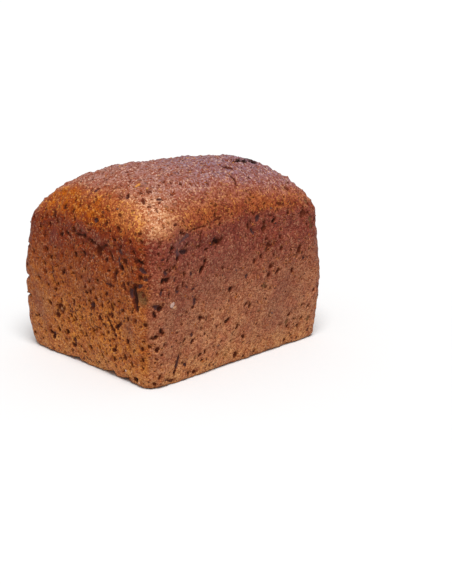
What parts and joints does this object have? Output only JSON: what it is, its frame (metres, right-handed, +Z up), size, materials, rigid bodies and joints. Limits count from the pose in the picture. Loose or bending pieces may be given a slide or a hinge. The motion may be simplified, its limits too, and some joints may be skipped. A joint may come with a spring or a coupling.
{
  "type": "tin loaf",
  "caption": "Whole small wholemeal loaf baked in a tin: flat base, near-upright walls with rounded corners, and a broad domed crown with a rough, pitted crust.",
  "frame": {"origin": "centre of the loaf's footprint, on the flat base it rests on", "axes": "+X along the loaf's longer side, +Y across it, +Z up"},
  "size_m": [0.1446, 0.1206, 0.1128],
  "materials": {
    "crust": "rough, pitted, coarse-grained brown crust with a faint sheen on the crown"
  },
  "bodies": {
    "root": {"loaf": "crust"}
  },
  "joints": []
}
